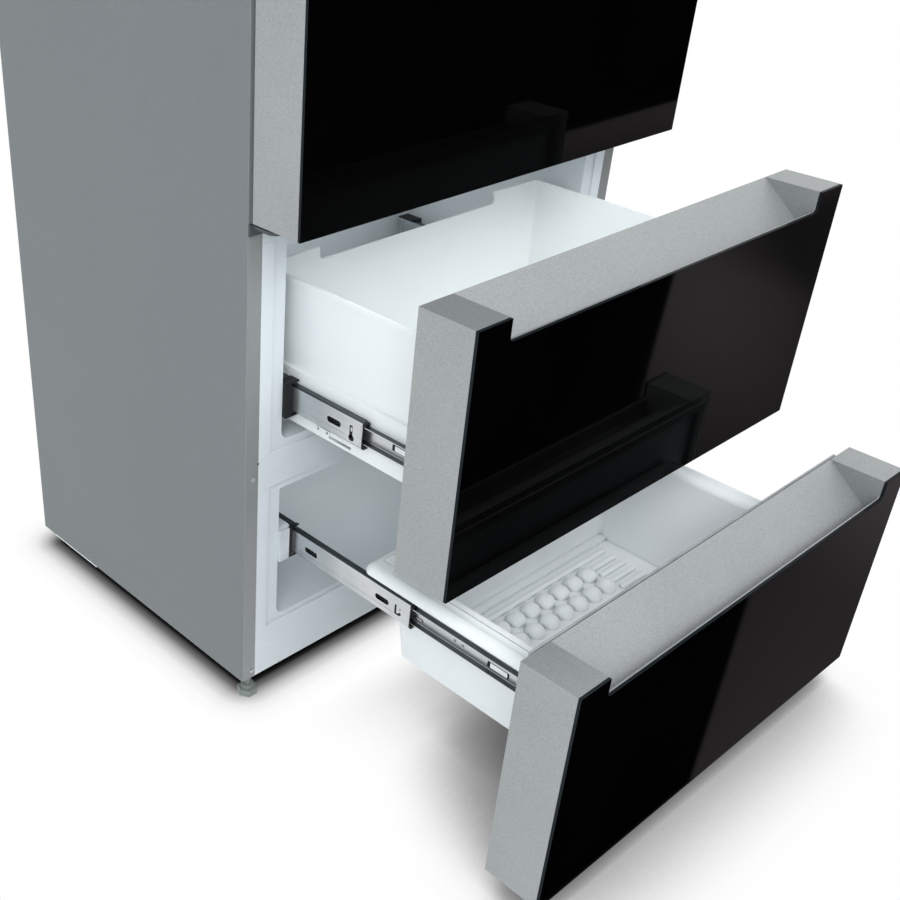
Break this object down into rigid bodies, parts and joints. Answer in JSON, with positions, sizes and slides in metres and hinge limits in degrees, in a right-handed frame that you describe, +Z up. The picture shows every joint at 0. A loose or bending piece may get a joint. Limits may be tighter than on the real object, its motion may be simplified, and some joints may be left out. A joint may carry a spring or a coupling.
{
  "type": "refrigerator",
  "caption": "Free-standing refrigerator with a wide upper door, pull-out drawers on telescopic slides and black glass fronts.",
  "frame": {"origin": "on the floor, in the middle of the part's whole footprint with the drawers as pictured", "axes": "+X to the right seen from the front, +Y to the rear, +Z up"},
  "size_m": [0.7, 1.0368, 2],
  "materials": {
    "grey_lacquer": "satin grey lacquer on steel sheet",
    "zinc_sheet": "plain coated steel sheet",
    "insulation_foam": "cut polyurethane foam",
    "white_liner": "smooth white moulded liner",
    "white_paint": "smooth white paint",
    "dark_hinge": "dark grey powder coat",
    "grey_plastic": "fine-grained grey plastic",
    "foot_plastic": "grey moulded plastic",
    "black_plastic": "black moulded plastic",
    "slide_steel": "zinc-plated rolled steel",
    "black_paint": "semi-gloss black paint",
    "black_rubber": "matt rubber",
    "fin_aluminium": "bare aluminium",
    "light_cover": "frosted light cover",
    "clear_glass": "clear tempered glass",
    "clear_plastic": "clear moulded plastic",
    "silver_frame": "silver-grey finish with a fine sparkle",
    "black_glass": "black back-coated glass",
    "grey_gasket": "soft light grey gasket",
    "white_bin": "smooth white moulded plastic",
    "white_insert": "pale moulded insert"
  },
  "bodies": {
    "cabinet": {"side_panel_left": "grey_lacquer", "side_panel_right": "grey_lacquer", "top_panel": "grey_lacquer", "rear_panel": "zinc_sheet", "base_pan": "zinc_sheet", "insulation_foam": "insulation_foam", "fridge_liner": "white_liner", "upper_compartment_liner": "white_liner", "lower_compartment_liner": "white_liner", "lower_mullion": "white_paint", "upper_mullion": "white_paint", "base_front_panel": "white_paint", "top_hinge": "dark_hinge", "top_hinge_cover": "grey_plastic", "middle_hinge": "dark_hinge", "roller_axles": "slide_steel", "compressor": "black_paint", "compressor_grommets": "black_rubber", "machine_room_cover": "zinc_sheet", "evaporator": "fin_aluminium", "evaporator_cover": "white_liner", "air_duct_panel": "white_liner", "ceiling_light": "light_cover", "fridge_shelves": "clear_glass", "crisper_cover": "clear_glass", "crispers": "clear_plastic", "slide_cabinet_members": "slide_steel", "slide_end_brackets": "black_plastic"},
    "door": {"door_frame": "silver_frame", "door_glass": "black_glass", "door_foam": "insulation_foam", "door_liner": "white_liner", "door_gasket": "grey_gasket", "door_bin_lower": "clear_plastic", "door_bin_middle": "clear_plastic", "door_bin_upper": "clear_plastic"},
    "upper_drawer": {"upper_front_frame": "silver_frame", "upper_front_glass": "black_glass", "upper_front_foam": "insulation_foam", "upper_front_panel": "white_liner", "upper_gasket": "grey_gasket", "upper_bin": "white_bin", "upper_carrier": "white_bin", "upper_slide_inner": "slide_steel"},
    "lower_drawer": {"lower_front_frame": "silver_frame", "lower_front_glass": "black_glass", "lower_front_foam": "insulation_foam", "lower_front_panel": "white_liner", "lower_gasket": "grey_gasket", "lower_bin": "white_bin", "lower_bin_insert": "white_insert", "lower_carrier": "slide_steel", "lower_slide_inner": "slide_steel"},
    "upper_middle_slides": {"upper_slide_middle": "slide_steel"},
    "lower_middle_slides": {"lower_slide_middle": "slide_steel"},
    "evaporator_fan_rotor": {"evaporator_fan": "black_plastic"},
    "foot_left": {"foot_left": "foot_plastic"},
    "foot_right": {"foot_right": "foot_plastic"},
    "rear_roller_left": {"rear_roller_left": "black_plastic"},
    "rear_roller_right": {"rear_roller_right": "black_plastic"}
  },
  "joints": [
    {"name": "door_swing", "type": "hinge", "parent": "cabinet", "child": "door", "pos_m": [-0.334, -0.02415, 0.706], "axis": [0, 0, -1], "range_deg": [0, 115]},
    {"name": "upper_drawer_slide", "type": "slide", "parent": "cabinet", "child": "upper_drawer", "axis": [0, -1, 0], "range_m": [-0.2524, 0.0776]},
    {"name": "upper_middle_slide", "type": "slide", "parent": "cabinet", "child": "upper_middle_slides", "axis": [0, -1, 0], "range_m": [-0.1262, 0.0388]},
    {"name": "lower_drawer_slide", "type": "slide", "parent": "cabinet", "child": "lower_drawer", "axis": [0, -1, 0], "range_m": [-0.4362, 0.0038]},
    {"name": "lower_middle_slide", "type": "slide", "parent": "cabinet", "child": "lower_middle_slides", "axis": [0, -1, 0], "range_m": [-0.2181, 0.0019]},
    {"name": "fan_spin", "type": "hinge", "parent": "cabinet", "child": "evaporator_fan_rotor", "pos_m": [0, 0.35385, 0.532], "axis": [0, 1, 0], "continuous": true},
    {"name": "foot_left_turn", "type": "hinge", "parent": "cabinet", "child": "foot_left", "pos_m": [-0.334, 0.01235, 0], "axis": [0, 0, 1], "continuous": true},
    {"name": "foot_right_turn", "type": "hinge", "parent": "cabinet", "child": "foot_right", "pos_m": [0.334, 0.01235, 0], "axis": [0, 0, 1], "continuous": true},
    {"name": "roller_left_spin", "type": "hinge", "parent": "cabinet", "child": "rear_roller_left", "pos_m": [-0.3, 0.48435, 0.0145], "axis": [1, 0, 0], "continuous": true},
    {"name": "roller_right_spin", "type": "hinge", "parent": "cabinet", "child": "rear_roller_right", "pos_m": [0.3, 0.48435, 0.0145], "axis": [1, 0, 0], "continuous": true}
  ],
  "couplings": [
    {"joint": "upper_middle_slide", "follows": "upper_drawer_slide", "ratio": 0.5},
    {"joint": "lower_middle_slide", "follows": "lower_drawer_slide", "ratio": 0.5}
  ]
}
